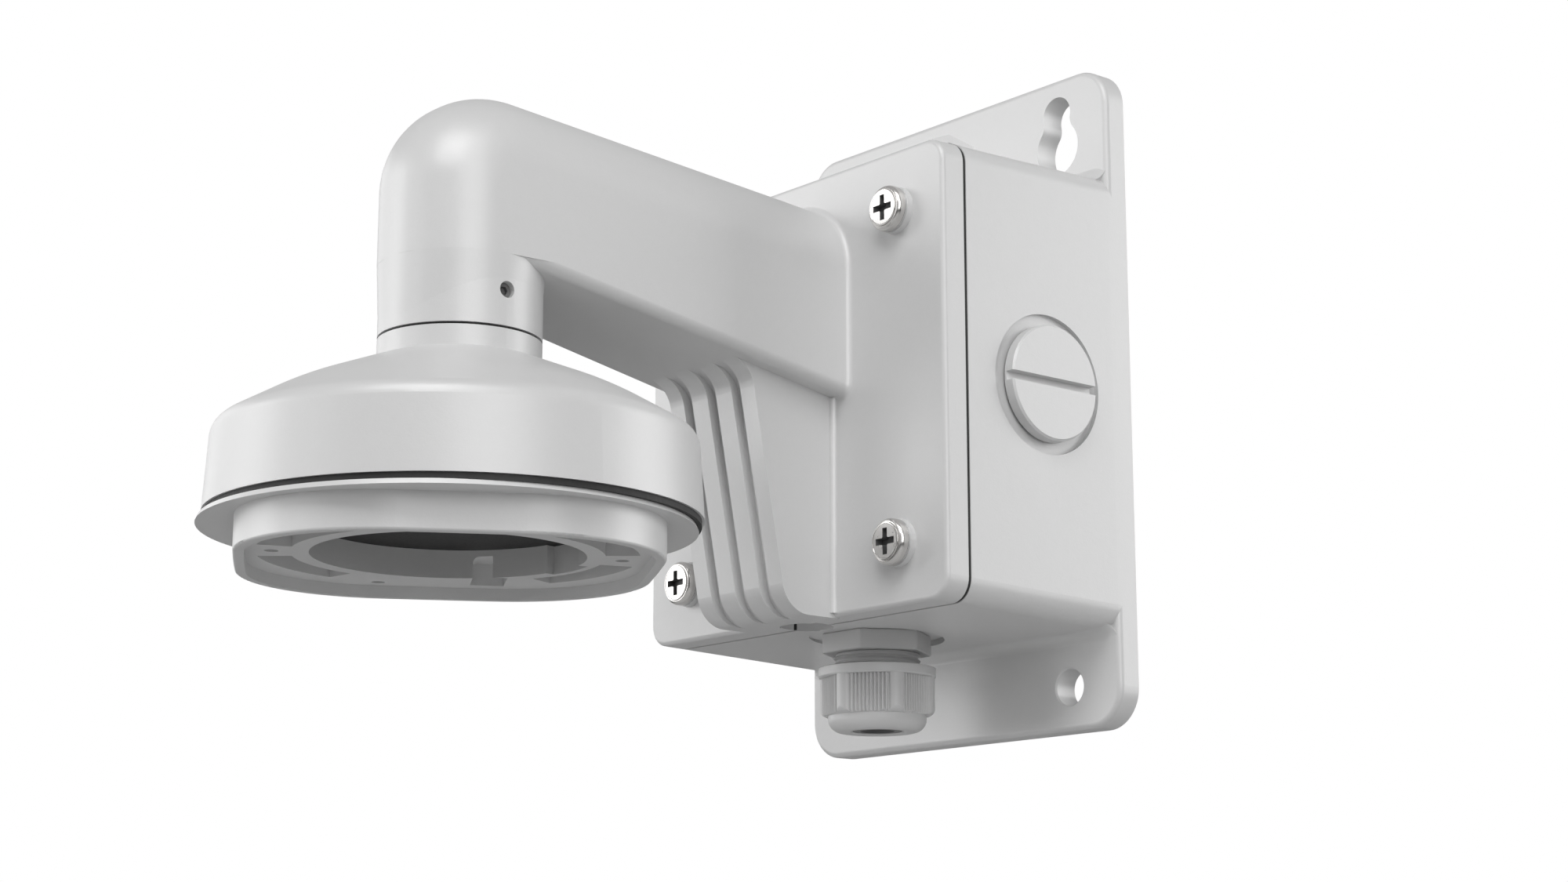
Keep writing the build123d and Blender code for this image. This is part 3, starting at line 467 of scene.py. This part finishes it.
def gland_body():
    """Round stem, hexagon and threaded neck, each a band of the one grid, with the cable bore inside."""
    seat = SEAT - SEAL
    low = seat - HEX_HEIGHT
    top = SEAT - SEAL_GAP
    outline = hexagon(HEX_FLAT, HEX_CORNER, HEX_TURN)
    threads = low - THREAD_PITCH / THREAD_ROWS * np.arange(1, THREAD_TURNS * THREAD_ROWS)
    rows = [(BORE, STEM_TOP), (STEM_TIP, STEM_TOP)]
    rows += [(STEM_RADIUS, STEM_TOP - STEM_BEVEL), (STEM_RADIUS, seat)]
    rows += [(SEAL_GROOVE, seat), (SEAL_GROOVE, top), (outline - HEX_BEVEL, top)]
    rows += [(outline, top - HEX_BEVEL), (outline, low + HEX_BEVEL), (outline - HEX_BEVEL, low)]
    rows += [(THREAD_CREST - THREAD_DEPTH, low)]
    rows += [(thread_row(z), z) for z in threads]
    rows += [(NECK_RADIUS, threads[-1]), (NECK_RADIUS, NECK_END), (BORE, NECK_END)]
    return ring_grid(rows, GLAND)


NUT_TOP = -71.84
NUT_FACE = -88.95
NUT_BORE = 11.85
NUT_TURN = radians(9.0)
NUT_COLLAR = 15.8
NUT_COLLAR_HEIGHT = 2.59
NUT_COLLAR_ROUND = 0.35
NUT_COLLAR_BEVEL = 0.3
GRIP_FLAT = 14.0
GRIP_REACH = 15.6
GRIP_END = 4.2  # above the nut's face
GRIP_ROUND = 2.0
FLUTE_PITCH = 1.06
FLUTE_DEPTH = 0.75
FLUTE_HALF = 5.3
FLUTE_SHARPNESS = 1.5
RIB_FOOT = 14.25
RIB_RISE = 1.3
RIB_HALF = radians(8.2)
NOSE_RADIUS = 13.2
NOSE_STEP = 0.2
NOSE_HEIGHT = 3.4
NOSE_ROUND = 3.5
MOUTH_RADIUS = 6.9
MOUTH_ROOF = 2.6  # above the grip's end
MOUTH_EDGE = [(7.3, 0.15), (6.95, 0.5)]  # radius and height over the face


def grip_outline():
    """Six fluted flats with a round rib on every corner: the flutes are a raised cosine across each flat."""
    off = from_nearest(turns(COLUMNS), 6, NUT_TURN)
    across = GRIP_FLAT * np.tan(off)
    wave = 0.5 - 0.5 * np.cos(2 * pi * (across / FLUTE_PITCH + 0.5))
    flute = (GRIP_FLAT - FLUTE_DEPTH * wave ** FLUTE_SHARPNESS) / np.cos(off)
    corner = (pi / 6 - np.abs(off)) / RIB_HALF
    rib = RIB_FOOT + RIB_RISE * np.sqrt(np.clip(1 - corner ** 2, 0, 1))
    return np.where(np.abs(across) < FLUTE_HALF, flute, rib)


def gland_nut():
    """Round collar, fluted grip and domed nose with a hollow for the seal, as one closed profile: the
    collar's edge and the nose are arcs, and the grip's lower end is an ellipse that cuts the outline off."""
    collar_low = NUT_TOP - NUT_COLLAR_HEIGHT
    collar_round = NUT_COLLAR - NUT_COLLAR_ROUND
    grip_low = NUT_FACE + GRIP_END
    roof = grip_low + MOUTH_ROOF
    nose = NUT_FACE + NOSE_HEIGHT
    outline = grip_outline()
    rows = [(NUT_BORE, roof), (NUT_BORE, NUT_TOP), (collar_round, NUT_TOP)]
    rows += [(collar_round + NUT_COLLAR_ROUND * sin(a), NUT_TOP - NUT_COLLAR_ROUND * (1 - cos(a)))
             for a in np.linspace(0.4, pi / 2, 4)]
    rows += [(NUT_COLLAR, collar_low + NUT_COLLAR_BEVEL), (NUT_COLLAR - NUT_COLLAR_BEVEL, collar_low)]
    rows += [(outline, collar_low)]
    for share in np.linspace(0.0, 1.0, 10):
        limit = NOSE_RADIUS + (GRIP_REACH - NOSE_RADIUS) * sqrt(1 - share ** 2)
        rows.append((np.minimum(outline, limit), grip_low + GRIP_ROUND * (1 - share)))
    rows += [(NOSE_RADIUS, grip_low - NOSE_STEP)]
    rows += [(NOSE_RADIUS - NOSE_ROUND * (1 - cos(a)), nose - NOSE_HEIGHT * sin(a))
             for a in np.linspace(0.0, pi / 2, 12)]
    rows += [(radius, NUT_FACE + rise) for radius, rise in MOUTH_EDGE]
    rows += [(MOUTH_RADIUS, roof)]
    return ring_grid(rows, GLAND)


def seal_washer():
    """Thin rubber ring between the box's seat and the hexagon: a rectangle carried round the gland."""
    low = SEAT - SEAL + SEAL_GAP
    return ring_grid([(SEAL_INNER, SEAT), (SEAL_OUTER, SEAT), (SEAL_OUTER, low), (SEAL_INNER, low)], GLAND)


# ---- eased step round the tube, where the arm's form ends ---------------------------------
TUBE = (0.0, -172.1)
TUBE_RADIUS = 20.0
COLLAR_TOP = 14.66
COLLAR_HEIGHT = 6.5
COLLAR_FRONT = 9.5
COLLAR_BACK = 0.2  # its hidden inner face, in from the tube's surface
COLLAR_PROUD = 0.01
COLLAR_SUNK = 0.03
SQUARE_STEP = 0.30
SQUARE_CORNER = 0.29
SQUARE_POWER = 1.4


def tube_collar():
    """Ring whose radius falls evenly from the arm's rounded square to the tube's circle, over a height that
    grows with the square of the sine towards the front."""
    theta = turns(COLUMNS)
    square = SQUARE_STEP + SQUARE_CORNER * np.abs(np.sin(2 * theta)) ** SQUARE_POWER
    height = COLLAR_HEIGHT + COLLAR_FRONT * np.maximum(0.0, -np.sin(theta)) ** 2
    fall = square + COLLAR_PROUD + COLLAR_SUNK
    inner = TUBE_RADIUS - COLLAR_BACK
    rows = [(inner, COLLAR_TOP)]
    rows += [(TUBE_RADIUS - COLLAR_SUNK + fall * (1 - t), COLLAR_TOP - height * t)
             for t in np.linspace(0.0, 1.0, 12)]
    rows += [(inner, COLLAR_TOP - height)]
    return ring_grid(rows, TUBE)


# ---- cover screws -------------------------------------------------------------------------
SCREW_COLUMNS = 360
SHAFT = 3.0
SHAFT_LENGTH = 20.0
HEAD = 6.0
HEAD_EDGE = 0.12
FLANK_FOOT = 1.0  # over the seat
GROOVE_DEPTH = 0.42
GROOVE_WIDTH = 0.1
RIM = 4.85
RIM_FOOT = 0.06
RIM_EDGE = [(0.0, 0.14), (0.05, 0.04), (0.16, 0.0), (0.34, 0.0)]  # in from the rim, under the face
RIM_WIDTH = 0.46
CROSS_SIDE = 0.85
CROSS_BORE = 1.4
CROSS_DEPTH = 2.1
CROSS_TAPER = 0.93


def cross_outline():
    """Plus-shaped outline: in each direction the nearer of an arm's end and its side, opened to a round
    middle."""
    off = from_nearest(turns(SCREW_COLUMNS), 4)
    side = CROSS_SIDE / np.maximum(np.abs(np.sin(off)), 1e-6)
    return np.maximum(np.minimum(CROSS_HALF / np.cos(off), side), CROSS_BORE)


def pan_head(x, z):
    """Shaft, a quarter-ellipse flank, a fine groove, a raised rim and the cross sunk in the pan: a profile
    turned about the screw's axis, which points out of the wall at x and z."""
    cross = cross_outline()
    flank_foot = SCREW_SEAT + FLANK_FOOT
    groove = SCREW_FACE - GROOVE_DEPTH
    groove_edge = RIM + GROOVE_WIDTH
    shaft_end = SCREW_SEAT - SHAFT_LENGTH
    rows = [(0.0, shaft_end), (SHAFT, shaft_end), (SHAFT, SCREW_SEAT)]
    rows += [(HEAD - HEAD_EDGE, SCREW_SEAT), (HEAD, SCREW_SEAT + HEAD_EDGE)]
    rows += [(groove_edge + (HEAD - groove_edge) * cos(a), flank_foot + (groove - flank_foot) * sin(a))
             for a in np.linspace(0.0, pi / 2, 10)]
    rows += [(RIM, groove - RIM_FOOT)]
    rows += [(RIM - inward, SCREW_FACE - under) for inward, under in RIM_EDGE]
    rows += [(RIM - RIM_WIDTH, SCREW_PAN), (cross, SCREW_PAN)]
    rows += [(cross * CROSS_TAPER, SCREW_PAN - CROSS_DEPTH), (0.0, SCREW_PAN - CROSS_DEPTH)]
    grid = ring_grid(rows, (0.0, 0.0), SCREW_COLUMNS)
    return np.stack([x + grid[..., 0], -grid[..., 2], z + grid[..., 1]], -1)


for row_name, height in SCREW_HEIGHTS.items():
    for side_name, side in (("left", -SCREW_X), ("right", SCREW_X)):
        corner_name = row_name + "_" + side_name
        closed_piece("pan_head_" + corner_name, pan_head(side, height), "screw_steel", "plated_steel",
                     "screw_" + corner_name, "cover_screw_" + corner_name)
closed_piece("tube_collar", tube_collar(), "white_coat", "white_paint", "cover")
closed_piece("gland_stem", gland_body(), "grey_plastic", "grey_plastic", "base", "gland_body")
closed_piece("gland_cap_nut", gland_nut(), "nut_plastic_painted_light", "grey_plastic", "gland_nut", "gland_dome_nut")
closed_piece("gland_seal", seal_washer(), "black_rubber", "black_rubber", "base", "gland_seal_washer")


# ---- floor, backdrop and light ------------------------------------------------------------
FLOOR_RINGS = 24
FLOOR_SPOKES = 64


@material("floor")
def floor_paint(g):
    """Pale matt studio floor, very faintly uneven in tone."""
    tone = g.noise(3, 2.0)
    return {"Base_Color": g.blend(tone, grey(0.60), grey(0.64)), "Roughness": 0.8}


def make_floor(height, reach):
    """Flat disc in metres: rings at equal steps of radius, crossed by spokes, with a fan at the hub."""
    radii = reach * (np.arange(1, FLOOR_RINGS + 1) / FLOOR_RINGS)
    turn = turns(FLOOR_SPOKES)
    level = np.full((FLOOR_RINGS, FLOOR_SPOKES), height)
    points = np.stack([np.outer(radii, np.cos(turn)), np.outer(radii, np.sin(turn)), level], -1)
    points = np.concatenate([[[0, 0, height]], points.reshape(-1, 3)])
    ring, spoke = np.meshgrid(np.arange(FLOOR_RINGS - 1), np.arange(FLOOR_SPOKES), indexing="ij")
    after = (spoke + 1) % FLOOR_SPOKES
    inner = ring * FLOOR_SPOKES
    outer = inner + FLOOR_SPOKES
    quads = 1 + np.stack([inner + spoke, outer + spoke, outer + after, inner + after], -1).reshape(-1, 4)
    first = np.arange(FLOOR_SPOKES)
    hub = np.stack([np.zeros(FLOOR_SPOKES, int), 1 + first, 1 + (first + 1) % FLOOR_SPOKES], -1)
    mesh = bpy.data.meshes.new("floor")
    mesh.from_pydata(points.tolist(), [], hub.tolist() + quads.tolist())
    mesh.materials.append(MATERIALS["floor"])
    floor = bpy.data.objects.new("floor", mesh)
    bpy.context.collection.objects.link(floor)


make_floor(height=-0.53, reach=4.0)

# Softboxes round the object's centre, in metres and watts.
CENTRE = Vector((0.0, -0.11, -0.01))
LIGHTS = [
    # azimuth, elevation, distance, width, height, power
    (-85, 10, 1.3, 0.5, 0.9, 2.1),
    (-60, 10, 1.3, 0.5, 0.9, 2.5),
    (-40, 10, 1.3, 0.5, 0.9, 4.0),
    (-10, 10, 1.3, 0.5, 0.9, 1.5),
    (70, 12, 1.3, 0.8, 0.8, 5.7),
    (145, 10, 1.3, 0.5, 0.9, 4.4),
    (165, 10, 1.3, 0.5, 0.9, 2.6),
    (30, 45, 1.3, 0.7, 0.7, 6.6),
    (60, 45, 1.3, 0.7, 0.7, 3.6),
]


def softbox(azimuth, elevation, distance, width, height, power):
    """Rectangular lamp that faces the object's centre."""
    toward = bearing(azimuth, elevation)
    data = bpy.data.lights.new("softbox", "AREA")
    data.shape = "RECTANGLE"
    data.size = width
    data.size_y = height
    data.energy = power
    lamp = bpy.data.objects.new("softbox", data)
    facing = toward.to_track_quat("Z", "Y").to_matrix().to_4x4()
    lamp.matrix_world = Matrix.Translation(CENTRE + toward * distance) @ facing
    bpy.context.collection.objects.link(lamp)


for light in LIGHTS:
    softbox(*light)

# The backdrop is white to the eye and through glass, dimmer in reflections, and lights nothing itself.
SHEEN = 0.45
world = bpy.data.worlds.new("studio")
bpy.context.scene.world = world
world.use_nodes = True
sky = Graph(world.node_tree)
rays = sky.node("LightPath", {})
seen = rays[CAMERA_RAY].math("MAXIMUM", rays[TRANSMISSION_RAY])
strength = seen + SHEEN * rays[GLOSSY_RAY] * (1 - seen)
shine = sky.node("Background", {}, Color=(1, 1, 1, 1), Strength=strength)
sky.node("OutputWorld", {}, Surface=shine[0])
